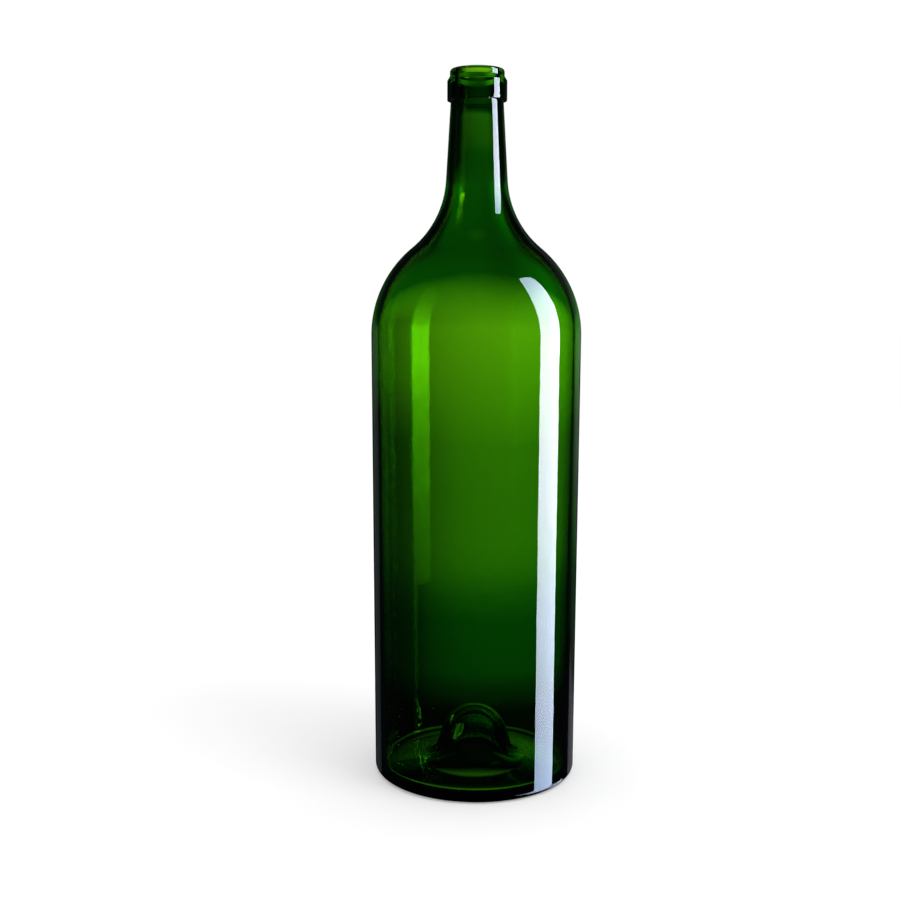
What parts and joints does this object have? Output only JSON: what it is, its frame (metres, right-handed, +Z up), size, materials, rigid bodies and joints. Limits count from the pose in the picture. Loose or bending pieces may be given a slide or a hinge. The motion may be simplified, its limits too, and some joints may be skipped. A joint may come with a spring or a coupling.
{
  "type": "wine bottle",
  "caption": "Empty large-format Bordeaux-style wine bottle in dark green glass, with high shoulders, a punted base and an open corked-wine finish.",
  "frame": {"origin": "on the bottle's axis, in the plane of the bearing ring that it stands on", "axes": "+Z up the bottle's axis, out of the mouth; X and Y are free, because the bottle is round"},
  "size_m": [0.1585, 0.1586, 0.535],
  "materials": {
    "green_glass": "clear polished green glass"
  },
  "bodies": {
    "root": {"bottle": "green_glass"}
  },
  "joints": []
}
